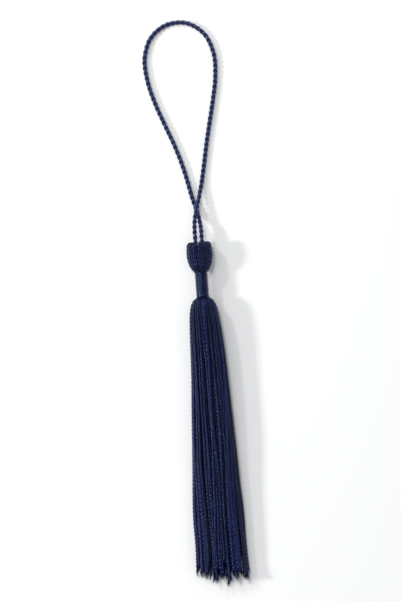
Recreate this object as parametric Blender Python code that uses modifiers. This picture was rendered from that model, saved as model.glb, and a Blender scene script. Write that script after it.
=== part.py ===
"""A silky thread tassel, lying on its side on a flat surface.

A hank of plied threads is folded over a twisted cord. Its upper end makes a tulip-shaped head, a thread
wound round the waist makes the neck, and below it the threads swell into a shoulder and run down into a
long skirt whose cut ends are uneven. The cord leaves the fold at the top of the head and makes the loop
that the tassel hangs by.

Metres, +Z up. The tassel lies along Y with its loop towards +Y, and the surface under it is z = 0. The
origin is under the middle of the hank's box.
"""

import math
from collections import namedtuple

import bmesh
import bpy
from mathutils import Vector
from mathutils.geometry import interpolate_bezier

MM = 0.001

# Driving dimensions.
BODY_LENGTH = 80.0 * MM  # top of the head to the longest thread end
NECK_HEIGHT = 3.0 * MM  # of the neck's axis above the surface
BINDING_RADIUS = 1.5 * MM
BINDING_THICKNESS = 0.4 * MM
BINDING_FROM = 7.2 * MM  # below the top of the head
BINDING_TO = 13.2 * MM
BINDING_CORNER = 0.12 * MM
BINDING_SIDES = 40
CORD_DIAMETER = 1.1 * MM
CORD_POINT_SPACING = 2.6 * CORD_DIAMETER

# Sections of the hank, from the top of the head to the cut ends, in millimetres.
# below: distance below the top of the head. width and height: the section's size across X and Z. lift: its
# lowest point above the surface. sway: its centre's X. waist: share of the height at which it is widest.
# flat: share of the width that is flat underneath. ridge: how far its locks stand out, as a share.
Section = namedtuple("Section", "below width height lift sway waist flat ridge")
SECTIONS = [
    Section(0.00, 3.4, 3.1, 1.45, 0.0, 0.50, 0.0, 0.00),
    Section(0.30, 4.8, 4.5, 0.75, 0.0, 0.50, 0.0, 0.01),
    Section(0.90, 5.7, 5.4, 0.25, 0.0, 0.50, 0.0, 0.02),
    Section(1.80, 6.1, 5.8, 0.00, 0.0, 0.49, 0.2, 0.03),
    Section(3.40, 6.2, 5.9, 0.00, 0.0, 0.49, 0.2, 0.03),
    Section(4.70, 5.8, 5.5, 0.20, 0.0, 0.50, 0.1, 0.03),
    Section(5.70, 5.2, 5.0, 0.50, 0.0, 0.50, 0.0, 0.02),
    Section(6.40, 4.5, 4.3, 0.85, 0.0, 0.50, 0.0, 0.01),
    Section(6.90, 3.6, 3.5, 1.25, 0.0, 0.50, 0.0, 0.00),
    Section(6.90, 1.6, 1.6, 2.20, 0.0, 0.50, 0.0, 0.00),
    Section(13.50, 1.6, 1.6, 2.20, 0.0, 0.50, 0.0, 0.00),
    Section(13.50, 3.6, 3.5, 1.25, 0.0, 0.50, 0.0, 0.00),
    Section(14.10, 5.1, 4.7, 0.65, 0.0, 0.50, 0.0, 0.01),
    Section(15.20, 6.2, 5.6, 0.20, 0.0, 0.49, 0.1, 0.02),
    Section(17.00, 6.9, 6.1, 0.00, 0.0, 0.48, 0.3, 0.03),
    Section(21.00, 7.7, 6.2, 0.00, 0.1, 0.46, 0.4, 0.04),
    Section(27.00, 8.4, 6.0, 0.00, 0.2, 0.44, 0.5, 0.04),
    Section(34.00, 9.1, 5.8, 0.00, 0.2, 0.43, 0.5, 0.05),
    Section(42.00, 9.8, 5.5, 0.00, 0.1, 0.42, 0.6, 0.06),
    Section(50.00, 10.5, 5.2, 0.00, 0.0, 0.41, 0.6, 0.07),
    Section(58.00, 11.1, 4.9, 0.00, -0.1, 0.40, 0.6, 0.08),
    Section(65.00, 11.7, 4.6, 0.00, -0.1, 0.40, 0.6, 0.10),
    Section(71.00, 12.1, 4.3, 0.00, 0.0, 0.40, 0.6, 0.12),
    Section(75.00, 12.4, 4.1, 0.00, 0.0, 0.40, 0.6, 0.14),
]

# Locks of the skirt, from -X to +X. spread: the lock's share of the way round. reach: how far below the top
# of the head its tip ends, in millimetres. notch: the same for the gap before it.
Lock = namedtuple("Lock", "spread reach notch")
LOCKS = [
    Lock(1.3, 77.5, 76.4),
    Lock(0.8, 79.1, 76.7),
    Lock(1.1, 78.2, 75.9),
    Lock(0.7, 79.6, 77.4),
    Lock(1.0, 78.5, 76.9),
    Lock(0.9, 80.0, 76.2),
    Lock(1.2, 78.0, 77.0),
    Lock(0.9, 79.4, 75.8),
    Lock(1.3, 77.7, 76.6),
]
COLUMNS_PER_LOCK = 4
UNDERSIDE_SHORTER = 0.5 * MM  # the ends that lie underneath are a little shorter

# The cord's route in millimetres, chosen by hand: out of the head to the right, down to the surface, round
# the loop, and back over the first leg in a low hump into the left of the head.
CORD_ROUTE = [
    (0.75, 40.3, 3.0),
    (0.78, 42.5, 2.65),
    (0.65, 44.4, 1.7),
    (0.35, 46.2, 0.85),
    (-0.1, 48.0, 0.57),
    (-0.8, 50.6, 0.55),
    (-1.5, 54.0, 0.55),
    (-2.5, 58.2, 0.55),
    (-4.0, 63.0, 0.55),
    (-5.9, 68.0, 0.55),
    (-7.8, 73.2, 0.55),
    (-9.2, 78.7, 0.55),
    (-9.4, 84.2, 0.55),
    (-7.4, 88.9, 0.55),
    (-3.4, 91.5, 0.55),
    (1.2, 91.4, 0.55),
    (4.9, 88.7, 0.55),
    (6.8, 84.0, 0.55),
    (6.8, 78.4, 0.55),
    (5.8, 72.9, 0.55),
    (4.6, 67.6, 0.55),
    (3.5, 62.6, 0.55),
    (2.6, 58.0, 0.55),
    (1.9, 54.6, 0.63),
    (1.35, 52.2, 0.9),
    (0.8, 50.1, 1.35),
    (0.25, 48.2, 1.85),
    (-0.25, 46.4, 2.3),
    (-0.62, 44.5, 2.75),
    (-0.75, 42.5, 2.98),
    (-0.75, 40.3, 3.0),
]


def material(name, color, roughness):
    """A Principled material of one colour."""
    made = bpy.data.materials.new(name)
    made.use_nodes = True
    shader = made.node_tree.nodes["Principled BSDF"]
    shader.inputs["Base Color"].default_value = (*color, 1.0)
    shader.inputs["Roughness"].default_value = roughness
    shader.inputs["Metallic"].default_value = 0.0
    return made


def add_object(name, data, finish, collection, parent):
    """One named piece in the tassel's collection."""
    made = bpy.data.objects.new(name, data)
    data.materials.append(finish)
    collection.objects.link(made)
    made.parent = parent
    return made


def lock_columns():
    """The hank's columns, as (angle from -X over the top, height on its lock, reach below the head's top)."""
    total = sum(lock.spread for lock in LOCKS)
    columns = []
    start = 0.0
    for lock in LOCKS:
        for step in range(COLUMNS_PER_LOCK):
            share = step / COLUMNS_PER_LOCK
            crest = math.sin(math.pi * share)
            angle = math.pi * (start + lock.spread * share) / total
            reach = (lock.notch + (lock.reach - lock.notch) * crest) * MM
            columns.append((angle, crest, reach))
        start += lock.spread
    columns.append((math.pi, 0.0, LOCKS[-1].notch * MM))
    return columns


def section_points(section, columns):
    """Two rows of (x, z) across a section, over the top and along the underside, both from -X to +X."""
    half_width = section.width * MM / 2
    middle = (section.lift + section.height * section.waist) * MM
    up = section.height * (1 - section.waist) * MM
    down = section.height * section.waist * MM
    flat_from = math.sqrt(1 - section.flat**2)
    over, under = [], []
    for angle, crest, _ in columns:
        swell = 1 + section.ridge * (crest - 0.5) * math.sin(angle)
        x = section.sway * MM - half_width * math.cos(angle)
        over.append((x, middle + up * math.sin(angle) * swell))
        under.append((x, middle - down * min(1.0, math.sin(angle) / flat_from)))
    return over, under


def hank_mesh():
    """The whole hank, lofted through its sections, with a comb of locks at its cut end."""
    top = BODY_LENGTH / 2
    columns = lock_columns()
    last = len(columns) - 1
    bm = bmesh.new()
    rings = []
    for section in SECTIONS + [SECTIONS[-1]]:
        is_cut_end = len(rings) == len(SECTIONS)
        over, under = section_points(section, columns)
        ring_over, ring_under = [], []
        for index, (_, _, reach) in enumerate(columns):
            below = reach if is_cut_end else section.below * MM
            ring_over.append(bm.verts.new((over[index][0], top - below, over[index][1])))
            if index in (0, last):
                ring_under.append(ring_over[index])
                continue
            short = UNDERSIDE_SHORTER if is_cut_end else 0.0
            ring_under.append(bm.verts.new((under[index][0], top - below + short, under[index][1])))
        rings.append((ring_over, ring_under))
    for (over, under), (next_over, next_under) in zip(rings, rings[1:]):
        for k in range(last):
            bm.faces.new((over[k], over[k + 1], next_over[k + 1], next_over[k]))
            bm.faces.new((under[k + 1], under[k], next_under[k], next_under[k + 1]))
    for over, under in (rings[0], rings[-1]):
        for k in range(last):
            corners = [over[k], over[k + 1], under[k + 1], under[k]]
            bm.faces.new(sorted(set(corners), key=corners.index))
    bmesh.ops.recalc_face_normals(bm, faces=bm.faces)
    mesh = bpy.data.meshes.new("hank")
    bm.to_mesh(mesh)
    bm.free()
    mesh.shade_smooth()
    mesh.set_sharp_from_angle(angle=math.radians(50))
    return mesh


def binding_profile():
    """The sleeve's outline at +X, down its outer side and up its inner side, with cut corners."""
    half = (BINDING_TO - BINDING_FROM) / 2
    inner = BINDING_RADIUS - BINDING_THICKNESS
    cut = BINDING_CORNER
    return [
        (BINDING_RADIUS - cut, half),
        (BINDING_RADIUS, half - cut),
        (BINDING_RADIUS, cut - half),
        (BINDING_RADIUS - cut, -half),
        (inner + cut, -half),
        (inner, cut - half),
        (inner, half - cut),
        (inner + cut, half),
    ]


def add_binding(finish, collection, parent):
    """The wound neck: a turned sleeve round the hank's waist."""
    outline = binding_profile()
    mesh = bpy.data.meshes.new("neck_binding")
    edges = [(i, (i + 1) % len(outline)) for i in range(len(outline))]
    mesh.from_pydata([(x, 0.0, z) for x, z in outline], edges, [])
    made = add_object("neck_binding", mesh, finish, collection, parent)
    screw = made.modifiers.new("turn", "SCREW")
    screw.steps = BINDING_SIDES
    screw.render_steps = BINDING_SIDES
    screw.use_merge_vertices = True
    screw.merge_threshold = 0.01 * MM
    made.rotation_euler = (math.radians(-90), 0.0, 0.0)
    middle = BODY_LENGTH / 2 - (BINDING_FROM + BINDING_TO) / 2
    made.location = (0.0, middle, NECK_HEIGHT)
    return made


def smooth_route(points, spacing):
    """Points at an even spacing on a smooth curve through the route's own points."""
    knots = [Vector(p) * MM for p in points]
    inner = [(after - before) / 6 for before, after in zip(knots, knots[2:])]
    handles = [(knots[1] - knots[0]) / 3, *inner, (knots[-1] - knots[-2]) / 3]
    fine = []
    for i in range(len(knots) - 1):
        stretch = interpolate_bezier(knots[i], knots[i] + handles[i], knots[i + 1] - handles[i + 1], knots[i + 1], 24)
        fine.extend(stretch[:-1])
    fine.append(knots[-1])
    lengths = [0.0]
    for before, after in zip(fine, fine[1:]):
        lengths.append(lengths[-1] + (after - before).length)
    count = round(lengths[-1] / spacing)
    even, at = [], 0
    for step in range(count + 1):
        want = lengths[-1] * step / count
        while at < len(fine) - 2 and lengths[at + 1] < want:
            at += 1
        share = (want - lengths[at]) / (lengths[at + 1] - lengths[at])
        place = fine[at].lerp(fine[at + 1], share)
        place.z = max(place.z, CORD_DIAMETER / 2)  # the cord lies on the surface, never in it
        even.append(place)
    return even


def add_cord(finish, collection, parent):
    """The hanging cord, a round tube from one side of the head's fold to the other."""
    curve = bpy.data.curves.new("cord_loop", "CURVE")
    curve.dimensions = "3D"
    curve.bevel_depth = CORD_DIAMETER / 2
    curve.bevel_resolution = 2
    curve.use_fill_caps = True
    points = smooth_route(CORD_ROUTE, CORD_POINT_SPACING)
    spline = curve.splines.new("POLY")
    spline.points.add(len(points) - 1)
    for point, place in zip(spline.points, points):
        point.co = (*place, 1.0)
    return add_object("cord_loop", curve, finish, collection, parent)


def main():
    for old in list(bpy.data.objects):
        bpy.data.objects.remove(old)
    collection = bpy.data.collections.new("tassel")
    bpy.context.scene.collection.children.link(collection)
    whole = bpy.data.objects.new("tassel", None)
    collection.objects.link(whole)
    threads = material("rayon_thread", (0.012, 0.017, 0.058), 0.42)
    winding = material("binding_thread", (0.013, 0.018, 0.060), 0.36)
    rope = material("twisted_cord", (0.012, 0.016, 0.052), 0.45)
    add_object("hank", hank_mesh(), threads, collection, whole)
    add_binding(winding, collection, whole)
    add_cord(rope, collection, whole)


main()
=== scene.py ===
# %% [markdown]
# # A silky thread tassel
# A tassel is a hank of plied threads folded over a cord. The fold is its head, a thread wound tightly
# round the waist is its neck, and the rest hangs down as the skirt. This one lies on its side with its
# loop spread out. Everything is in metres: Y runs along the tassel towards the loop, Z is up.
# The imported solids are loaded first, because they say where each piece is and how far it may reach.

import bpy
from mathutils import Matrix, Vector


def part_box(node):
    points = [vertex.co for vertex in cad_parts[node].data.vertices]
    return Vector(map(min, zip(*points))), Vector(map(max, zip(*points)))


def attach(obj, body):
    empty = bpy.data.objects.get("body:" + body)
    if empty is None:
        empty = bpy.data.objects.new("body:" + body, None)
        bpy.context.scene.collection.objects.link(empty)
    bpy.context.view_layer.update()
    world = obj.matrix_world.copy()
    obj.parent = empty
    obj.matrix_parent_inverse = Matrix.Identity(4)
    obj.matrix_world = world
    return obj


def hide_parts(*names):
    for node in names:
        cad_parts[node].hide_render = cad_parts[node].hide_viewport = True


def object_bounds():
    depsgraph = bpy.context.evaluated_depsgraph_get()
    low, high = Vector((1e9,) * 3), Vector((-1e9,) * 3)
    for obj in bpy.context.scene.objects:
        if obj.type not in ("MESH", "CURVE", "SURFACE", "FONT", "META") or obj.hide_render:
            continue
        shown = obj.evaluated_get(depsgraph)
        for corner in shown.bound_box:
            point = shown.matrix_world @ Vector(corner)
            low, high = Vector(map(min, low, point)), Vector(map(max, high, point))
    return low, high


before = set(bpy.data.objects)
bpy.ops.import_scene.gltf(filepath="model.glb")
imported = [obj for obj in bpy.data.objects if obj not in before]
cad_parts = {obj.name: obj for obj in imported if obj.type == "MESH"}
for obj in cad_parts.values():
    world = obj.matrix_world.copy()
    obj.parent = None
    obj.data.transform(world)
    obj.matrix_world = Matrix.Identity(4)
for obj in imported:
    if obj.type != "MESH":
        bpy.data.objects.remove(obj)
cad_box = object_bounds()
print("nodes", sorted(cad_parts))

# %% Places of the solids
import math

import bpy
import numpy as np
from mathutils import Vector
from mathutils.bvhtree import BVHTree

MM = 0.001
FULL_TURN = 2 * math.pi
hank_low, hank_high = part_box("hank")
neck_low, neck_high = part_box("neck_binding")
neck_centre = (neck_low + neck_high) / 2
TOP = hank_high.y
print("the top of the head is at", round(TOP / MM, 2), "mm")
print("the middle of the neck is at", round(neck_centre.y / MM, 2), "mm")

# %% [markdown]
# ## The camera
# The tassel is looked down on from straight above. A long lens keeps the loop and the thread ends at
# one scale, and a slight turn of the camera lets the skirt lean a little to the right on its way down.

# %% Camera
LENS = 85.0
SENSOR = 36.0
LEAN = math.radians(-4.3)
MARGIN = 1.07
CAMERA_ACROSS = -0.6 * MM
NEAREST_SEEN = 10 * MM

low, high = cad_box
length = high.y - low.y
distance = length * MARGIN * LENS / SENSOR
place = (CAMERA_ACROSS, (low.y + high.y) / 2, distance)
bpy.ops.object.camera_add(location=place, rotation=(0, 0, LEAN))
camera = bpy.context.object
camera.data.lens = LENS
camera.data.sensor_width = SENSOR
camera.data.clip_start = NEAREST_SEEN
bpy.context.scene.camera = camera
bpy.context.scene.view_settings.view_transform = "Standard"
print("camera", round(distance, 3), "m above a tassel of", round(length, 4), "m")

# %% [markdown]
# ## A smooth line through a few points
# A limp cord or thread has no corners. Its route is given by a few points, and one smooth curve is run
# through them: a cubic between each two, with the slope shared at every point. A Bezier curve drawn by
# hand would look the same. Working it out here gives the exact length, and walking along it in even
# steps keeps the twist even.

# %% Lengths along a line


def steps_of(line):
    """How far along the line each of its points is."""
    return np.r_[0, np.cumsum(np.linalg.norm(np.diff(line, axis=0), axis=1))]


def length_of(line):
    """The length of a line of points."""
    return float(steps_of(line)[-1])


print("a line of 3 and then 4 is", length_of([(0, 0, 0), (3, 0, 0), (3, 4, 0)]), "long")

# %% Smooth lines
FINE_STEPS = 400
FINE_STEPS_PER_POINT = 12


def smooth(points, spacing):
    """Evenly spaced points on a smooth curve through the given ones."""
    points = np.asarray(points, float)
    knots = steps_of(points)
    slopes = np.gradient(points, knots, axis=0)
    fine = np.linspace(0, knots[-1], max(FINE_STEPS, FINE_STEPS_PER_POINT * len(points)))
    i = np.clip(np.searchsorted(knots, fine, side="right") - 1, 0, len(knots) - 2)
    gap = (knots[i + 1] - knots[i])[:, None]
    t = (fine - knots[i])[:, None] / gap
    curve = (2 * t**3 - 3 * t**2 + 1) * points[i] + (t**3 - 2 * t**2 + t) * gap * slopes[i]
    curve += (3 * t**2 - 2 * t**3) * points[i + 1] + (t**3 - t**2) * gap * slopes[i + 1]
    along = steps_of(curve)
    even = np.linspace(0, along[-1], max(2, round(along[-1] / spacing) + 1))
    return np.stack([np.interp(even, along, curve[:, k]) for k in range(3)], axis=1)


bend = smooth([(0, 0, 0), (1, 0, 0), (2, 1, 0)], 0.1)
print("a bend through 3 points becomes", len(bend), "points,", round(length_of(bend), 2), "long")

# %% Directions along a line


def frames_along(line):
    """Two directions square to the line at each point, carried along it without twisting."""
    forward = np.gradient(line, axis=0)
    forward /= np.linalg.norm(forward, axis=1)[:, None]
    side = np.cross(forward[0], (0, 0, 1))
    sides = []
    for direction in forward:
        side = side - direction * (side @ direction)
        side = side / np.linalg.norm(side)
        sides.append(side)
    sides = np.array(sides)
    return sides, np.cross(sides, forward)


across, up = frames_along(bend)
print("at the bend's end, across is", np.round(across[-1], 2), "and up is", np.round(up[-1], 2))

# %% [markdown]
# ## Sweeping threads
# Every yarn here is a small cross-section swept along a line. Blender's curve objects do that: each
# thread is one spline, its bevel object is the cross-section, and a point's tilt turns the section
# there. Tilting each point a little more than the last winds the section round the line, which is
# just how plies are twisted into a thread. A plain tube with a striped finish would be lighter, but
# its outline and its shadows would be too smooth close up.

# %% Cross-sections


def select_only(obj):
    """Leaves just this object selected and active."""
    bpy.ops.object.select_all(action="DESELECT")
    obj.select_set(True)
    bpy.context.view_layer.objects.active = obj


def section(name, width, reaches):
    """A closed cross-section: a circle whose points are each drawn in to a share of its radius."""
    bpy.ops.object.select_all(action="DESELECT")
    bpy.ops.mesh.primitive_circle_add(vertices=len(reaches), radius=width / 2, location=(0, 0, 0))
    profile = bpy.context.object
    profile.name = name
    for point, reach in zip(profile.data.vertices, reaches):
        point.co *= reach
    bpy.ops.object.convert(target="CURVE")
    profile = bpy.context.object
    profile.data.dimensions = "2D"
    profile.hide_render = True
    print("section", name, "is", round(width / MM, 3), "mm wide, with", len(reaches), "points")
    return profile


# %% [markdown]
# ## What each thread remembers
# A finish needs to know the thread it is on. Two attributes are kept on the mesh for that: a tone for
# each thread, and the lie of each point, which is how far across, above and along the thread's own
# axis it is. Fibres drawn with the lie follow the thread wherever it goes. A UV map could say the same,
# but it has a seam on each thread, and the lie has none.

# %% Tone and lie


def rings_of(piece, sides):
    """The points of a swept piece, ring by ring."""
    flat = np.empty(len(piece.data.vertices) * 3)
    piece.data.vertices.foreach_get("co", flat)
    return flat.reshape(-1, sides, 3)


def lie_about(axis, rings):
    """How far across, above and along the axis each point of the rings round it is."""
    out = rings - axis[:, None]
    across, up = frames_along(axis)
    along = np.repeat(steps_of(axis)[:, None], rings.shape[1], axis=1)
    return np.stack([(out * across[:, None]).sum(2), (out * up[:, None]).sum(2), along], axis=2)


def keep_tone_and_lie(piece, axes, rings, tones):
    """Stores the tone and the lie. A thread has one tone, or one for each of its rings."""
    counts = [len(axis) for axis in axes]
    round_each = np.split(rings, np.cumsum(counts)[:-1])
    lies = [lie_about(axis, part) for axis, part in zip(axes, round_each)]
    lie = piece.data.attributes.new("lie", "FLOAT_VECTOR", "POINT")
    lie.data.foreach_set("vector", np.concatenate(lies).ravel().astype(np.float32))
    ring_tones = np.concatenate([np.broadcast_to(t, count) for t, count in zip(tones, counts)])
    tone = piece.data.attributes.new("tone", "FLOAT", "POINT")
    tone.data.foreach_set("value", np.repeat(ring_tones, rings.shape[1]).astype(np.float32))
    print(piece.name, len(axes), f"axes, tones {ring_tones.min():.2f} to {ring_tones.max():.2f}")


# %% [markdown]
# ## From curve to mesh
# The curve is turned into a mesh, and its cut ends are closed. Each twisted four-sided face is then
# split along its shorter diagonal, which follows the twist and so keeps the plies round. Left whole,
# the faces may be split against the twist when they are drawn, and the plies look rough.

# %% Curve of many threads


def thread_curve(name, lines, sizes, tilts, profile):
    """A curve with one spline for each line, thickened by its sizes and twisted by its tilts."""
    curve = bpy.data.curves.new(name, "CURVE")
    curve.dimensions = "3D"
    curve.twist_mode = "MINIMUM"
    curve.bevel_mode = "OBJECT"
    curve.bevel_object = profile
    for line, size, tilt in zip(lines, sizes, tilts):
        spline = curve.splines.new("POLY")
        spline.points.add(len(line) - 1)
        spline.points.foreach_set("co", np.c_[line, np.ones(len(line))].ravel())
        spline.points.foreach_set("radius", np.broadcast_to(size, len(line)).astype(float))
        spline.points.foreach_set("tilt", np.broadcast_to(tilt, len(line)).astype(float))
    print(name, "is a curve of", len(curve.splines), "splines")
    return curve


def close_ends(sides):
    """Closes the cut ends of the active piece and turns its faces outwards."""
    bpy.ops.object.mode_set(mode="EDIT")
    bpy.ops.mesh.select_all(action="SELECT")
    bpy.ops.mesh.fill_holes(sides=sides)
    bpy.ops.mesh.normals_make_consistent(inside=False)
    bpy.ops.object.mode_set(mode="OBJECT")


# %% Sweep
SMOOTH_BELOW = math.radians(75)


def split_along_twist():
    """Splits every face of the active piece along its shorter diagonal."""
    bpy.ops.object.mode_set(mode="EDIT")
    bpy.ops.mesh.select_all(action="SELECT")
    bpy.ops.mesh.quads_convert_to_tris(quad_method="SHORTEST_DIAGONAL", ngon_method="BEAUTY")
    bpy.ops.object.mode_set(mode="OBJECT")


def sweep(name, lines, sizes, tilts, profile, tones, axes=None):
    """One mesh of many threads: the profile swept along each line."""
    curve = thread_curve(name, lines, sizes, tilts, profile)
    piece = bpy.data.objects.new(name, curve)
    bpy.context.scene.collection.objects.link(piece)
    select_only(piece)
    bpy.ops.object.convert(target="MESH")
    piece = bpy.context.object
    sides = len(profile.data.splines[0].points)
    rings = rings_of(piece, sides)
    off_lines = np.abs(rings.mean(axis=1) - np.vstack(lines)).max()
    keep_tone_and_lie(piece, axes or lines, rings, tones)
    close_ends(sides)
    split_along_twist()
    bpy.ops.object.shade_smooth_by_angle(angle=SMOOTH_BELOW)
    print(name, len(piece.data.polygons), "triangles, off their lines by", round(off_lines / MM, 4), "mm")
    return piece


# %% [markdown]
# ## The hanging cord
# The cord is rope in miniature: two plies twisted hard about each other, rising to the right as on
# most ropes, while the threads below are twisted the other way. It comes out of the fold at
# the top of the head, drops to the surface, runs round the loop, and goes back over its first leg in
# a low hump. Its two plies are laid as a pair of helices about the route, so that the rope has its
# real bumps and grooves, which no painted stripe would give along the edge.

# %% Cord route
# Each point is across, along and up, in millimetres.
CORD_ROUTE = [
    (0.75, 40.3, 3.0),
    (0.78, 42.5, 2.65),
    (0.65, 44.4, 1.7),
    (0.35, 46.2, 0.85),
    (-0.1, 48.0, 0.57),
    (-0.8, 50.6, 0.55),
    (-1.5, 54.0, 0.55),
    (-2.5, 58.2, 0.55),
    (-4.0, 63.0, 0.55),
    (-5.9, 68.0, 0.55),
    (-7.8, 73.2, 0.55),
    (-9.2, 78.7, 0.55),
    (-9.4, 84.2, 0.55),
    (-7.4, 88.9, 0.55),
    (-3.4, 91.5, 0.55),
    (1.2, 91.4, 0.55),
    (4.9, 88.7, 0.55),
    (6.8, 84.0, 0.55),
    (6.8, 78.4, 0.55),
    (5.8, 72.9, 0.55),
    (4.6, 67.6, 0.55),
    (3.5, 62.6, 0.55),
    (2.6, 58.0, 0.55),
    (1.9, 54.6, 0.63),
    (1.35, 52.2, 0.9),
    (0.8, 50.1, 1.35),
    (0.25, 48.2, 1.85),
    (-0.25, 46.4, 2.3),
    (-0.62, 44.5, 2.75),
    (-0.75, 42.5, 2.98),
    (-0.75, 40.3, 3.0),
]
route = np.array(CORD_ROUTE) * MM
print("route of", len(route), "points, outside the head for", round(length_of(route) / MM, 1), "mm")

# %% Cord line
CORD_DIAMETER = 1.1 * MM
CORD_LAY = 2.5 * MM
CORD_STEPS_PER_TURN = 24
INTO_HEAD = 1.7 * MM
ends = route[[0, -1]] - (0, INTO_HEAD, 0)
cord_line = smooth(np.vstack([ends[:1], route, ends[1:]]), CORD_LAY / CORD_STEPS_PER_TURN)
cord_line[:, 2] = np.maximum(cord_line[:, 2], CORD_DIAMETER / 2)
print("cord", round(length_of(cord_line) / MM, 1), "mm,", len(cord_line), "points")

# %% Cord plies
PLY_DIAMETER = 0.66 * MM
STRANDS = (1.0, 0.98, 0.91, 0.98) * 3


def plies(line, lay, offset, count):
    """The centre lines of plies that wind about a line, evenly apart."""
    steps = steps_of(line)
    across, up = frames_along(line)
    found = []
    for ply in range(count):
        angle = (FULL_TURN * (ply / count - steps / lay))[:, None]
        found.append(line + offset * (np.cos(angle) * across + np.sin(angle) * up))
    return found


ply_lines = plies(cord_line, CORD_LAY, (CORD_DIAMETER - PLY_DIAMETER) / 2, 2)
print("each ply is", round(length_of(ply_lines[0]) / MM, 1), "mm long")

# %% Cord
CORD_TONES = [0.35, 0.65]
stranded = section("stranded ply", PLY_DIAMETER, STRANDS)
strand_turns = FULL_TURN * np.arange(len(cord_line)) / CORD_STEPS_PER_TURN
strand_tilts = [strand_turns, strand_turns]
cord_axes = [cord_line, cord_line]
cord = sweep("hanging_cord", ply_lines, [1.0, 1.0], strand_tilts, stranded, CORD_TONES, cord_axes)

# %% [markdown]
# ## How far the threads may reach
# The solid of the hank has the tassel's true outline, so the threads take theirs from it. At a few
# distances below the top of the head, rays are sent out from the middle of the solid until they meet
# its wall. Each outline is then divided into equal shares of its way round, because threads spread
# out evenly: a thread keeps its share from the head to its cut end, however the bundle flattens.
# The outlines could be drawn again by hand, but taken from the solid they can't go past it.

# %% Outline of the hank
SHARES = 96
RAYS = 181
FAR = 1.0
MIDDLE_HEIGHT = 0.45
hank_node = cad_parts["hank"]
hank_tree = BVHTree.FromPolygons(
    [v.co for v in hank_node.data.vertices],
    [tuple(p.vertices) for p in hank_node.data.polygons],
)


def outline(below):
    """The hank's outline at a distance below its top, from -X over the top, and its middle."""
    y = TOP - below
    highest = hank_tree.ray_cast(Vector((0, y, FAR)), Vector((0, 0, -1)))[0].z
    lowest = hank_tree.ray_cast(Vector((0, y, -FAR)), Vector((0, 0, 1)))[0].z
    centre = Vector((0, y, lowest + MIDDLE_HEIGHT * (highest - lowest)))
    ring = []
    for angle in np.linspace(0, FULL_TURN, RAYS):
        hit = hank_tree.ray_cast(centre, Vector((-math.cos(angle), 0, math.sin(angle))))[0]
        ring.append((hit.x, hit.z))
    ring = np.array(ring)
    way = steps_of(ring)
    even = np.linspace(0, way[-1], SHARES + 1)
    return np.stack([np.interp(even, way, ring[:, k]) for k in range(2)], axis=1), (centre.x, centre.z)


print("the skirt is", round(np.ptp(outline(70 * MM)[0][:, 0]) / MM, 2), "mm wide 70 mm below the top")

# %% Oval outlines


def oval(across, up):
    """An oval outline about the neck's axis, in the same shares, and its middle."""
    angle = np.linspace(0, FULL_TURN, SHARES + 1)
    x = neck_centre.x - across * np.cos(angle)
    z = neck_centre.z + up * np.sin(angle)
    return np.stack([x, z], axis=1), (neck_centre.x, neck_centre.z)


print("an oval of 2 by 1 is", round(length_of(oval(2.0, 1.0)[0]), 2), "round")

# %% [markdown]
# ## Squeezed and free
# In the fold and in the neck the threads are squeezed to a part of their thickness, and they pass
# through openings that the solid doesn't have: the eye of the fold, where the cord goes in, and the
# waist inside the binding. Each waypoint gives the thread's thickness there, as a share of its own.
# Squeezing a finished bundle with a lattice would be quicker, but it would flatten the twist as well.

# %% Waypoints down the tassel
# below, across and up are in millimetres. across and up are half the size of the opening. Where they
# are None, the outline is the solid's.
WAYPOINTS = [
    # below, thickness, across, up
    (2.40, 0.38, 1.45, 0.75),
    (1.30, 0.40, 1.50, 0.80),
    (0.66, 0.50, 1.70, 1.05),
    (0.36, 0.62, 2.00, 1.50),
    (0.42, 0.76, 2.32, 1.98),
    (0.80, 0.88, 2.58, 2.38),
    (1.50, 0.97, None, None),
    (2.50, 1.00, None, None),
    (3.50, 1.00, None, None),
    (4.50, 0.96, None, None),
    (5.40, 0.88, None, None),
    (6.10, 0.78, None, None),
    (6.62, 0.66, None, None),
    (6.98, 0.54, 1.66, 1.66),
    (7.25, 0.44, 1.28, 1.28),
    (7.80, 0.37, 1.08, 1.08),
    (12.60, 0.37, 1.08, 1.08),
    (13.15, 0.44, 1.26, 1.26),
    (13.52, 0.54, 1.72, 1.66),
    (14.05, 0.74, None, None),
    (14.80, 0.88, None, None),
    (15.80, 0.96, None, None),
    (17.20, 1.00, None, None),
]
SKIRT_FROM, SKIRT_TO, SKIRT_STEP = 19.5, 74.5, 2.75

waypoints = list(WAYPOINTS)
for below in np.arange(SKIRT_FROM, SKIRT_TO + SKIRT_STEP / 2, SKIRT_STEP):
    waypoints.append((float(below), 1.0, None, None))
belows = np.array([w[0] for w in waypoints]) * MM
thicknesses = np.array([w[1] for w in waypoints])
print(len(waypoints), "waypoints, from", waypoints[0][0], "to", waypoints[-1][0], "mm below the top")

# %% Outlines of the outer threads
THREAD_DIAMETER = 0.67 * MM


def middles_outline(below, thickness):
    """The solid's outline, drawn in by half a thread, so that threads centred on it touch the wall."""
    ring, centre = outline(below)
    out = ring - centre
    reach = np.linalg.norm(out, axis=1)[:, None]
    return centre + out * (1 - thickness * THREAD_DIAMETER / 2 / reach), centre


outlines, centres = [], []
for below, thickness, across, up in waypoints:
    if across is None:
        ring, centre = middles_outline(below * MM, thickness)
    else:
        ring, centre = oval(across * MM, up * MM)
    outlines.append(ring)
    centres.append(centre)
outlines, centres = np.array(outlines), np.array(centres)
rounds = np.array([length_of(ring) for ring in outlines])
print("outlines are", round(rounds.min() / MM, 1), "to", round(rounds.max() / MM, 1), "mm round")

# %% [markdown]
# ## Locks
# Loose threads gather into locks, as hair does. Each lock takes its own share of the way round, its
# threads are drawn a little towards its middle on their way down, and it ends a little higher or
# lower than the next. They could be combed by hand. A few random numbers do it evenly all round, and
# because they are seeded they make the same tassel every time.

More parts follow.
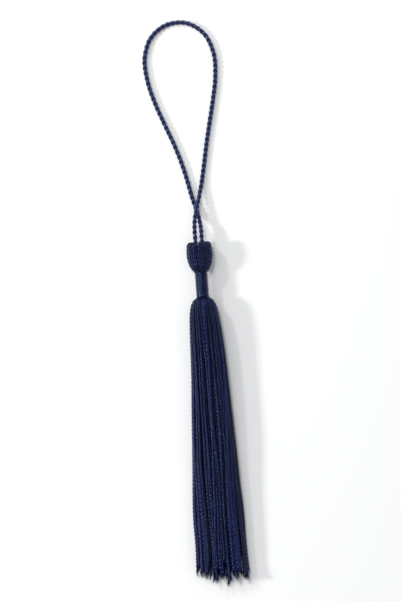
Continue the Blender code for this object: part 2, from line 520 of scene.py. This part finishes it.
# %% Locks
SEED = 11
LOCK_COUNT = 13
LOCK_WIDTHS = (0.6, 1.4)
LOCK_LENGTHS = (-0.9, 0.6)
random = np.random.default_rng(SEED)
lock_edges = np.r_[0, np.cumsum(random.uniform(*LOCK_WIDTHS, LOCK_COUNT))]
lock_edges /= lock_edges[-1]
lock_reach = random.uniform(*LOCK_LENGTHS, LOCK_COUNT) * MM


def lock_of(share):
    """The number of the lock that a thread at this share is in, and the share of its middle."""
    number = min(np.searchsorted(lock_edges, share, side="right") - 1, LOCK_COUNT - 1)
    return number, (lock_edges[number] + lock_edges[number + 1]) / 2


print("the widest lock takes", round(float(np.diff(lock_edges).max()), 3), "of the way round")

# %% [markdown]
# ## The way of one thread
# The threads lie in rings, one inside another, like the rings of a tree. Each has its own share of
# the way round. On its way down it sways, partly with its neighbours and partly on its own, it rises
# and sinks a little, and it is drawn into its lock. A simulation could drop a hundred threads in a
# heap, but it is slow and pays no heed to the outline. Here each is worked out waypoint by waypoint.

# %% Sway and swell
LOCK_PULL = 0.14
LOCKS_FROM, LOCKS_TO = 24 * MM, 78 * MM
LOOSE_FROM, LOOSE_OVER = 15 * MM, 55 * MM
# Each shared sway: how wide in millimetres, its waves down the skirt and its waves round the bundle.
SHARED_SWAYS = [(0.7, 1.1, 2), (0.2, 1.9, -5)]
OWN_SWAY = 0.25
WANDER = 0.5
SWELL, SWELL_PACE = 0.10 * MM, 1.7


def sway_at(skirt, share, waves, phase):
    """How far sideways a thread sways, in millimetres, at a share of the skirt's length."""
    sway = OWN_SWAY * math.sin(FULL_TURN * waves * skirt + phase)
    for width, down, around in SHARED_SWAYS:
        sway += width * math.sin(FULL_TURN * (down * skirt + around * share))
    return WANDER * sway


def swell_at(skirt, waves, phase):
    """How far a thread rises or sinks at a share of the skirt's length."""
    return SWELL * skirt * math.sin(FULL_TURN * waves * SWELL_PACE * skirt + phase)


def drawn_in(below):
    """How far a lock has closed up, from 0 to 1, starting and ending gently."""
    down = np.clip((below - LOCKS_FROM) / (LOCKS_TO - LOCKS_FROM), 0, 1)
    return down * down * (3 - 2 * down)


print("half way down, a thread sways", round(sway_at(0.5, 0.1, 1.0, 0.0), 2), "mm sideways")

# %% Place at a waypoint
# A thread's middle stays a little over half its thickness above the surface, so that it rests on it.
LOWEST = THREAD_DIAMETER * 0.53
LEAST_DEPTH = 0.08


def place_on(ring, share):
    """The point at a share of the way round an outline."""
    at = share % 1.0 * SHARES
    k = min(int(at), SHARES - 1)
    return ring[k] + (at - k) * (ring[k + 1] - ring[k])


def out_to(row, share, depth, moved):
    """A thread's place at a waypoint: its share round, its depth as a share, and moved further out."""
    out = place_on(outlines[row], share) - centres[row]
    kept = max(depth * (1 + moved / np.linalg.norm(out)), LEAST_DEPTH)
    x, z = centres[row] + out * kept
    return x, TOP - belows[row], max(z, LOWEST * thicknesses[row])


print("the top of the last waypoint is at", [round(v / MM, 2) for v in out_to(-1, 0.5, 1.0, 0.0)], "mm")

# %% [markdown]
# ## The cut
# The skirt is trimmed, but not evenly. A thread is cut where the solid's comb ends, give or take the
# lock's length and a little of its own. One in ten is up to 4 mm shorter, and the last few millimetres
# splay. Cutting all the threads with one plane would leave them as straight as a broom.

# %% Where the comb ends
CLEAR_OF_THE_ENDS = 10 * MM
COMB_DEPTH = 6 * MM
AT_THE_SIDES = 3.4 * MM


def comb_end(x, z):
    """Where the solid's comb ends on a line along the tassel, or a usual place past its sides."""
    from_below = Vector((x, hank_low.y - CLEAR_OF_THE_ENDS, z))
    hit = hank_tree.ray_cast(from_below, Vector((0, 1, 0)))[0]
    on_the_comb = hit is not None and hit.y <= hank_low.y + COMB_DEPTH
    return hit.y if on_the_comb else hank_low.y + AT_THE_SIDES


print("on the middle line the comb ends at", round(comb_end(0.0, 2 * MM) / MM, 2), "mm")

# %% Cut ends
OWN_LENGTHS = (-1.0, 0.7)
SHORT_SHARE, SHORTER_BY = 0.10, (1.0, 4.0)
LONGEST = 0.6 * MM
SPLAY = 0.06


def cut_at(x, z, lock):
    """Where one thread is cut."""
    end = comb_end(x, z) - lock_reach[lock] - random.uniform(*OWN_LENGTHS) * MM
    if random.random() < SHORT_SHARE:
        end += random.uniform(*SHORTER_BY) * MM
    return max(end, hank_low.y - LONGEST)


def splayed_tip(points, end):
    """Two more points, half way to the cut and at it, leaning a little from the thread's own way."""
    x, y, z = points[-1]
    slope = (np.array(points[-1]) - np.array(points[-2])) / SKIRT_STEP / MM
    splay = random.normal(0, SPLAY, 2)
    tip = y - end
    found = []
    for part in (0.5, 1.0):
        splay_x = x + (slope[0] + splay[0] * part) * tip * part
        splay_z = z + (slope[2] + splay[1] * part) * tip * part
        found.append((splay_x, y - tip * part, max(splay_z, LOWEST)))
    return found


print("a thread is cut at", round((hank_low.y - LONGEST) / MM, 1), "mm at the furthest")

# %% One thread
TIP_THICKNESS = (1.0, 0.80)
PHASES = (0, FULL_TURN)
WAVES = (0.6, 1.6)


def thread_line(share, start, spacing, inset, depth, lift, drift):
    """One thread's line and its thickness along it, from a waypoint to its cut end.

    inset: how far inside the outermost threads it lies, at the shoulder and at the cut end.
    depth: its share of the way out from the middle.
    lift and drift: how far it strays upwards and, in millimetres, sideways.
    """
    lock, middle = lock_of(share)
    phase, waves = random.uniform(*PHASES, 2), random.uniform(*WAVES, 2)
    points = []
    for row in range(start, len(belows)):
        skirt = np.clip((belows[row] - LOOSE_FROM) / LOOSE_OVER, 0, 1)
        strayed = (sway_at(skirt, share, waves[0], phase[0]) + drift) * skirt
        at = share + LOCK_PULL * drawn_in(belows[row]) * (middle - share) + strayed * MM / rounds[row]
        raised = swell_at(skirt, waves[1], phase[1]) + lift * skirt
        sunk = (inset[0] + (inset[1] - inset[0]) * skirt) * thicknesses[row]
        points.append(out_to(row, at, depth, raised - sunk))
    x, _, z = points[-1]
    points += splayed_tip(points, cut_at(x, z, lock))
    line = smooth(points, spacing)
    knots = steps_of(points)
    even = np.linspace(0, knots[-1], len(line))
    return line, np.interp(even, knots, np.r_[thicknesses[start:], TIP_THICKNESS])


print("a thread's line has", len(belows) + len(TIP_THICKNESS), "points before it is smoothed")

# %% [markdown]
# ## Outer threads
# The threads one sees are two plies twisted together, and each ply catches the light as a small
# bead, so these get the twist as real shape: the cross-section is a circle pinched at its waist, and
# it turns once in each lay length. They run all the way, out of the fold, over the head, through the
# neck and down the skirt. A few are loose and wander across their neighbours on top. They are split
# into an upper and a lower half, which keeps each mesh a handy size.

# %% A ring of threads
THREAD_LAY = 1.8 * MM
LAY_SPREAD = (0.88, 1.16)
THICKNESS_SPREAD = (0.93, 1.05)
LOOSE_SHARE, LOOSE_DRIFT, LOOSE_LIFT = 0.18, 3.0, 0.35 * MM
RAISED, SUNK = -0.13 * MM, 0.15 * MM
AT_SHOULDER = 0.3
FROM_THE_FOLD = 0
HEADING_STEPS = 3
thread_tips = []


def thread_ring(name, shares, profile, steps, start, inset=(0.0, 0.0), depth=1.0):
    """Threads side by side as a single piece, each with a twist, a thickness and a tone of its own."""
    lines, sizes, tilts, tones = [], [], [], []
    for share in shares:
        loose = start == FROM_THE_FOLD and random.random() < LOOSE_SHARE
        drift = random.uniform(-LOOSE_DRIFT, LOOSE_DRIFT) if loose else 0.0
        lift = LOOSE_LIFT if loose else 0.0
        deeper = random.uniform(RAISED, SUNK)
        inside = (inset[0] + AT_SHOULDER * deeper, inset[1] + deeper)
        line, size = thread_line(share, start, THREAD_LAY / steps, inside, depth, lift, drift)
        lay = THREAD_LAY * random.uniform(*LAY_SPREAD)
        turns = np.arange(len(line)) * length_of(line) / (len(line) - 1) / lay
        lines.append(line)
        sizes.append(size * random.uniform(*THICKNESS_SPREAD))
        tilts.append(random.uniform(0, math.pi) - FULL_TURN * turns)
        tones.append(random.random())
        thread_tips.append((line[-1], line[-1] - line[-1 - HEADING_STEPS], tones[-1]))
    print(name, len(lines), "threads of", round(length_of(lines[0]) / MM, 1), "mm or so")
    return sweep(name, lines, sizes, tilts, profile, tones)


# %% Outer threads
OUTER_THREADS = 30
OUTER_SCATTER, HALF_A_PLACE = 0.15, 0.5
FINE_STEPS_PER_LAY = 10
PINCHED = (1.0, 0.89, 0.62, 0.42, 0.62, 0.89) * 2


def even_shares(count, scatter, shift=0.0):
    """Places round the bundle, evenly apart but for a little scatter."""
    return ((np.arange(count) + shift + random.uniform(-scatter, scatter, count)) / count) % 1.0


fine_plies = section("two plies", THREAD_DIAMETER, PINCHED)
shares = even_shares(OUTER_THREADS, OUTER_SCATTER, HALF_A_PLACE)
half = OUTER_THREADS // 2
upper = thread_ring("outer_threads_upper", shares[:half], fine_plies, FINE_STEPS_PER_LAY, FROM_THE_FOLD)
lower = thread_ring("outer_threads_lower", shares[half:], fine_plies, FINE_STEPS_PER_LAY, FROM_THE_FOLD)

# %% [markdown]
# ## Surfacing threads
# Where the skirt widens, the outer threads would part and leave gaps. A few more lie under them at
# the neck and come to the surface between them on the way down.

# %% Surfacing threads
SURFACING_THREADS = 13
SURFACING_SCATTER = 0.2
INSIDE_NECK = 16
SECOND_LAYER = 0.55 * MM
PROUD = 0.05 * MM
between = even_shares(SURFACING_THREADS, SURFACING_SCATTER)
rise = (SECOND_LAYER, -PROUD)
surfacing = thread_ring("surfacing_threads", between, fine_plies, FINE_STEPS_PER_LAY, INSIDE_NECK, rise)

# %% [markdown]
# ## Inner threads
# Between the outer threads one sees the next ring, so that is twisted too, with fewer points round.
# The rings inside it fill the skirt and show at the cut ends. They start inside the neck.

# %% Inner threads
INNER_THREADS = 33
INNER_SCATTER = 0.12
INNER_STEPS_PER_LAY = 8
INSIDE_HEAD = 6
INNER_INSET = (SECOND_LAYER, 0.40 * MM)
PLAINLY_PINCHED = (1.0, 0.76, 0.44, 0.76) * 2
plain_plies = section("two plies, fewer points", THREAD_DIAMETER, PLAINLY_PINCHED)
midway = even_shares(INNER_THREADS, INNER_SCATTER, HALF_A_PLACE)
inner = thread_ring("inner_threads", midway, plain_plies, INNER_STEPS_PER_LAY, INSIDE_HEAD, INNER_INSET)

# %% Core threads
CORE_STEPS_PER_LAY = 7
CORE_SCATTER = 0.3
OUTER_CORE_THREADS, INNER_CORE_THREADS = 17, 9
OUTER_CORE_DEPTH, INNER_CORE_DEPTH = 0.60, 0.30


def core_ring(name, count, depth):
    """A ring of threads that starts inside the neck, at its share of the way out from the middle."""
    places = even_shares(count, CORE_SCATTER)
    return thread_ring(name, places, plain_plies, CORE_STEPS_PER_LAY, INSIDE_NECK, depth=depth)


outer_core = core_ring("core_threads_outer", OUTER_CORE_THREADS, OUTER_CORE_DEPTH)
inner_core = core_ring("core_threads_inner", INNER_CORE_THREADS, INNER_CORE_DEPTH)
print(len(thread_tips), "threads in all")

# %% [markdown]
# ## Frayed ends
# Where a thread is cut, its fibres let go of their twist and stand out as a small pointed brush.
# A flat card with a tuft drawn on it would do from one side only, so each end gets a few very thin
# fibres of its own. They start in the thread's last half millimetre, or just beside it, and spread as
# they go. Three sides are enough for them, because they are as fine as a hair.

# %% One fibre
FIBRE_DIAMETER = 0.085 * MM
FIBRE_ROOT = 0.5 * MM
FIBRE_POINTS = 5
FIBRE_REACH = (0.35, 1.0)
FIBRE_LOWEST = 0.06 * MM
SPREAD, CURL = 0.32, 0.16
OPENING, HOLDING = 0.34, 0.14


def fibre_line(tip, heading, brush):
    """A fibre that starts in the thread's end or just beside it, spreads from it and curls away."""
    spread, curl = random.normal(0, SPREAD, 3), random.normal(0, CURL, 3)
    spread -= heading * (spread @ heading)
    reach = brush * random.uniform(*FIBRE_REACH)
    at = np.linspace(0, 1, FIBRE_POINTS)[:, None]
    strays = (spread * (at**2 * OPENING - at * HOLDING) + curl * at**3) * reach
    line = tip - heading * FIBRE_ROOT + spread * FIBRE_ROOT
    line = line + heading * at * (reach + FIBRE_ROOT) + strays
    line[:, 2] = np.maximum(line[:, 2], FIBRE_LOWEST)
    return line


print("a fibre is", round(FIBRE_DIAMETER / MM, 3), "mm thick and has", FIBRE_POINTS, "points")

# %% Frayed ends
FIBRES_PER_END = 20
BRUSH_LENGTHS = (0.7, 1.5)
FIBRE_TIP = 0.3
THREE_SIDED = (1.0,) * 3
fibre = section("fibre", FIBRE_DIAMETER, THREE_SIDED)
fibre_lines, fibre_tones = [], []
for tip, heading, tone in thread_tips:
    heading = heading / np.linalg.norm(heading)
    brush = random.uniform(*BRUSH_LENGTHS) * MM
    for _ in range(FIBRES_PER_END):
        fibre_lines.append(fibre_line(tip, heading, brush))
        fibre_tones.append(tone)
fibre_sizes = [np.linspace(1.0, FIBRE_TIP, FIBRE_POINTS)] * len(fibre_lines)
fibre_tilts = [0.0] * len(fibre_lines)
frays = sweep("frayed_ends", fibre_lines, fibre_sizes, fibre_tilts, fibre, fibre_tones)

# %% [markdown]
# ## The neck binding
# A thread wound tightly round the waist holds the fold together. It is a true winding: one
# cross-section carried round the axis by the Screw modifier, which also moves it along by one
# thread's width each turn. The section is a little flattened, because the turns press on each other.
# A stack of rings would look much the same, but it has no slope and no beginning or end.

# %% Section of the winding
BINDING_THREAD = 0.36 * MM
BINDING_SIDES = 10
BINDING_FLAT = 0.56
BINDING_TIGHT = 1.06
binding_outside = (neck_high.x - neck_low.x) / 2
wound_at = binding_outside - BINDING_THREAD * BINDING_FLAT / 2
section_radius = BINDING_THREAD / 2 * BINDING_TIGHT
bpy.ops.object.select_all(action="DESELECT")
bpy.ops.mesh.primitive_circle_add(vertices=BINDING_SIDES, radius=section_radius, location=(0, 0, 0))
binding = bpy.context.object
binding.name = "neck_winding"
bpy.ops.object.mode_set(mode="EDIT")
bpy.ops.mesh.select_all(action="SELECT")
bpy.ops.transform.resize(value=(BINDING_FLAT, 1, 1))
bpy.ops.transform.translate(value=(wound_at, 0, 0))
bpy.ops.object.mode_set(mode="OBJECT")
print("the winding's section is", round(wound_at / MM, 2), "mm from the neck's axis")

# %% Neck binding
BINDING_TURNS = 16
BINDING_STEPS = 40
BINDING_SMOOTH_BELOW = math.radians(70)
winding = binding.modifiers.new("winding", "SCREW")
winding.axis = "Y"
winding.steps = winding.render_steps = BINDING_STEPS
winding.iterations = BINDING_TURNS
winding.screw_offset = BINDING_THREAD
bpy.ops.object.modifier_apply(modifier="winding")
close_ends(BINDING_SIDES)
wound_from = neck_centre.y - BINDING_TURNS * BINDING_THREAD / 2
bpy.ops.object.mode_set(mode="EDIT")
bpy.ops.mesh.select_all(action="SELECT")
bpy.ops.transform.translate(value=(neck_centre.x, wound_from, neck_centre.z))
bpy.ops.object.mode_set(mode="OBJECT")
bpy.ops.object.shade_smooth_by_angle(angle=BINDING_SMOOTH_BELOW)
print("binding", BINDING_TURNS, "turns,", len(binding.data.polygons), "faces")

# %% [markdown]
# ## Uneven turns
# A winding is never perfectly even: a turn rides a hair higher than the next, or leaves a hair's gap.
# Each ring of the winding is moved by slow waves that don't fall into step with each other, and its
# tone changes a little in the same way. Random steps would break the thread, and waves bend it.

# %% Uneven turns
STRAY, STRAY_PACES, STRAY_START = 0.018 * MM, (0.21, 0.083), 1.0
SLIP, SLIP_PACES, SLIP_START = 0.040 * MM, (0.13, 0.07), 0.4
SETTLED = 0.010 * MM
TONE_SPREAD, TONE_PACE = 0.45, 0.43
ring_count = BINDING_STEPS * BINDING_TURNS + 1
turned = FULL_TURN * np.arange(ring_count) / BINDING_STEPS
rings = rings_of(binding, BINDING_SIDES)
centre_line = rings.mean(axis=1)
outwards = (centre_line - tuple(neck_centre)) * (1, 0, 1)
outwards /= np.linalg.norm(outwards, axis=1)[:, None]
stray = STRAY * np.sin(turned * STRAY_PACES[0] + STRAY_START) * np.sin(turned * STRAY_PACES[1])
slip = SLIP * np.sin(turned * SLIP_PACES[0] + SLIP_START) * np.cos(turned * SLIP_PACES[1])
moved = outwards * (stray - SETTLED)[:, None] + np.array((0, 1, 0)) * slip[:, None]
rings += moved[:, None]
binding.data.vertices.foreach_set("co", rings.ravel())
binding.data.update()
binding_tones = 0.5 + TONE_SPREAD * np.sin(turned * TONE_PACE)
keep_tone_and_lie(binding, [centre_line + moved], rings, [binding_tones])
print("turns strayed by up to", round(np.abs(moved).max() / MM, 3), "mm")

# %% [markdown]
# ## Silk
# Rayon is a smooth, clear fibre dyed deep navy. Its gloss is a soft sheen along the threads, tinted
# by the dye, and neighbouring threads differ a little in tone. The shader is a Principled one. It needs
# no special silk or hair shader, because the twist is real shape and draws out the gloss by itself.
# For its colour, the tone attribute picks each thread's blue, from a violet navy to a clearer one, and
# a slow noise varies it on the way down.

# %% Colour of a yarn
PATCH_SCALE, PATCH_DETAIL = 300.0, 2.0
PATCH_SHARE = 0.30
BLUE_PLACES = (0.15, 0.5, 0.85)


def colour_yarn(nodes, links, blues):
    """Mixes a thread's tone with slow patches and picks a blue with it."""
    coords = nodes.new("ShaderNodeTexCoord")
    tone = nodes.new("ShaderNodeAttribute")
    tone.attribute_name = "tone"
    patches = nodes.new("ShaderNodeTexNoise")
    patches.inputs["Scale"].default_value = PATCH_SCALE
    patches.inputs["Detail"].default_value = PATCH_DETAIL
    mixed = nodes.new("ShaderNodeMix")
    mixed.data_type = "FLOAT"
    mixed.inputs["Factor"].default_value = PATCH_SHARE
    ramp = nodes.new("ShaderNodeValToRGB")
    ramp.color_ramp.elements.new(0.5)
    for stop, place, blue in zip(ramp.color_ramp.elements, BLUE_PLACES, blues):
        stop.position = place
        stop.color = (*blue, 1)
    links.new(coords.outputs["Object"], patches.inputs["Vector"])
    links.new(tone.outputs["Fac"], mixed.inputs["A"])
    links.new(patches.outputs["Fac"], mixed.inputs["B"])
    links.new(mixed.outputs["Result"], ramp.inputs["Fac"])
    links.new(ramp.outputs["Color"], nodes["Principled BSDF"].inputs["Base Color"])


print("a patch of colour is about", round(1 / PATCH_SCALE / MM, 1), "mm long")

# %% [markdown]
# ## Fibres
# A ply is a bundle of fine fibres, and they break up its gloss. Far too many to model, they are drawn
# by a fine noise on the lie attribute, long along the thread and narrow across it. It changes the
# roughness and the relief.

# %% Fibres in a yarn
FIBRE_LIE = (15000.0, 15000.0, 650.0)
FIBRE_DETAIL = 3.0
GLOSSIER, DULLER = 0.10, 0.14
RELIEF_DEPTH = 0.05 * MM


def comb_fibres(nodes, links, roughness, relief_strength):
    """Draws fibres along the threads, in the roughness and in the relief."""
    shader = nodes["Principled BSDF"]
    lie = nodes.new("ShaderNodeAttribute")
    lie.attribute_name = "lie"
    combed = nodes.new("ShaderNodeMapping")
    combed.inputs["Scale"].default_value = FIBRE_LIE
    fibres = nodes.new("ShaderNodeTexNoise")
    fibres.inputs["Scale"].default_value = 1.0
    fibres.inputs["Detail"].default_value = FIBRE_DETAIL
    shine = nodes.new("ShaderNodeMapRange")
    shine.inputs["To Min"].default_value = roughness - GLOSSIER
    shine.inputs["To Max"].default_value = roughness + DULLER
    relief = nodes.new("ShaderNodeBump")
    relief.inputs["Strength"].default_value = relief_strength
    relief.inputs["Distance"].default_value = RELIEF_DEPTH
    links.new(lie.outputs["Vector"], combed.inputs["Vector"])
    links.new(combed.outputs["Vector"], fibres.inputs["Vector"])
    links.new(fibres.outputs["Fac"], shine.inputs["Value"])
    links.new(shine.outputs["Result"], shader.inputs["Roughness"])
    links.new(fibres.outputs["Fac"], relief.inputs["Height"])
    links.new(relief.outputs["Normal"], shader.inputs["Normal"])


fibre_width, fibre_length = 1 / FIBRE_LIE[0], 1 / FIBRE_LIE[2]
print("fibres about", round(fibre_width / MM, 3), "mm wide and", round(fibre_length / MM, 1), "mm long")

# %% Silks
DYE_TINT = (0.38, 0.49, 1.0, 1.0)
# Each finish has its darkest, its middle and its lightest blue.
THREAD_BLUES = [(0.0003, 0.0008, 0.0095), (0.0020, 0.0033, 0.0320), (0.0056, 0.0115, 0.0700)]
WINDING_BLUES = [(0.0004, 0.0009, 0.0100), (0.0007, 0.0014, 0.0140), (0.0010, 0.0022, 0.0190)]
CORD_BLUES = [(0.0010, 0.0022, 0.0210), (0.0028, 0.0048, 0.0400), (0.0050, 0.0090, 0.0620)]


def silk(name, blues, roughness, gloss, relief_strength):
    """A dyed silky yarn."""
    material = bpy.data.materials.new(name)
    material.use_nodes = True
    nodes, links = material.node_tree.nodes, material.node_tree.links
    colour_yarn(nodes, links, blues)
    comb_fibres(nodes, links, roughness, relief_strength)
    nodes["Principled BSDF"].inputs["Specular IOR Level"].default_value = gloss
    nodes["Principled BSDF"].inputs["Specular Tint"].default_value = DYE_TINT
    print(name, "roughness", roughness, "gloss", gloss, "relief", relief_strength)
    return material


thread_silk = silk("navy thread silk", THREAD_BLUES, roughness=0.24, gloss=0.62, relief_strength=0.8)
winding_silk = silk("navy winding silk", WINDING_BLUES, roughness=0.18, gloss=0.70, relief_strength=0.30)
cord_silk = silk("navy cord silk", CORD_BLUES, roughness=0.30, gloss=1.0, relief_strength=0.7)

# %% Give each piece its silk
hank_pieces = (upper, lower, surfacing, inner, outer_core, inner_core, frays)
for piece in hank_pieces:
    piece.data.materials.append(thread_silk)
binding.data.materials.append(winding_silk)
cord.data.materials.append(cord_silk)
print(len(hank_pieces), "pieces of the hank, the binding and the cord have their silk")

# %% [markdown]
# ## Floor and light
# A plain pale floor and soft lights, as in a simple studio: a large key from the upper left, a wide
# weak fill from the right, and three small lamps on the left. The small ones put a glint on each
# bead of the threads and a bright line down the left of the neck.

# %% Floor
FLOOR_SIZE = 3.0
JUST_BELOW = 0.02 * MM
FLOOR_COLOUR = (0.93, 0.93, 0.93, 1)
FLOOR_ROUGHNESS = 0.9
bpy.ops.object.select_all(action="DESELECT")
bpy.ops.mesh.primitive_plane_add(size=FLOOR_SIZE, location=(0, 0, -JUST_BELOW))
floor = bpy.context.object
floor.name = "floor"
paper = bpy.data.materials.new("pale floor")
paper.use_nodes = True
paper.node_tree.nodes["Principled BSDF"].inputs["Base Color"].default_value = FLOOR_COLOUR
paper.node_tree.nodes["Principled BSDF"].inputs["Roughness"].default_value = FLOOR_ROUGHNESS
floor.data.materials.append(paper)
print("floor", FLOOR_SIZE, "m square")

# %% Soft lights
GLINT_SIZE = 0.06
GLINTS = [((-0.52, 0.06, 0.30), 1.9), ((-0.40, 0.45, 0.45), 1.1), ((-0.12, 0.25, 0.65), 1.0)]


def soft_light(name, place, size, power):
    """A square area light that faces the tassel."""
    bpy.ops.object.light_add(type="AREA", location=place)
    lamp = bpy.context.object
    lamp.name = name
    lamp.data.size = size
    lamp.data.energy = power
    lamp.rotation_euler = (-Vector(place)).to_track_quat("-Z", "Y").to_euler()
    print(name, "of", power, "W,", round(Vector(place).length, 2), "m away")


soft_light("key light", (-0.30, 0.25, 0.80), size=0.40, power=1.0)
soft_light("fill light", (0.55, -0.25, 0.65), size=0.8, power=0.40)
for number, (place, power) in enumerate(GLINTS, start=1):
    soft_light(f"glint light {number}", place, GLINT_SIZE, power)

# %% Studio walls
WALL_COLOUR = (0.96, 0.98, 1.0, 1)
WALL_STRENGTH = 0.42
world = bpy.data.worlds.new("studio")
bpy.context.scene.world = world
world.use_nodes = True
world.node_tree.nodes["Background"].inputs["Color"].default_value = WALL_COLOUR
world.node_tree.nodes["Background"].inputs["Strength"].default_value = WALL_STRENGTH
print("studio walls at strength", WALL_STRENGTH)

# %% [markdown]
# ## Ride on the root
# Each piece rides on the root body, and the solid that it stands for is hidden.

# %% Ride and replace
for piece in hank_pieces:
    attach(piece, "root")
    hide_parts("hank")
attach(binding, "root")
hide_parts("neck_binding")
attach(cord, "root")
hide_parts("cord_loop")
print(len(hank_pieces) + 2, "pieces ride on the root")

print("cord declared,", round(length_of(cord_line), 4), "m long")

# %% Remove the cross-sections
for profile in (stranded, fine_plies, plain_plies, fibre):
    bpy.data.objects.remove(profile)
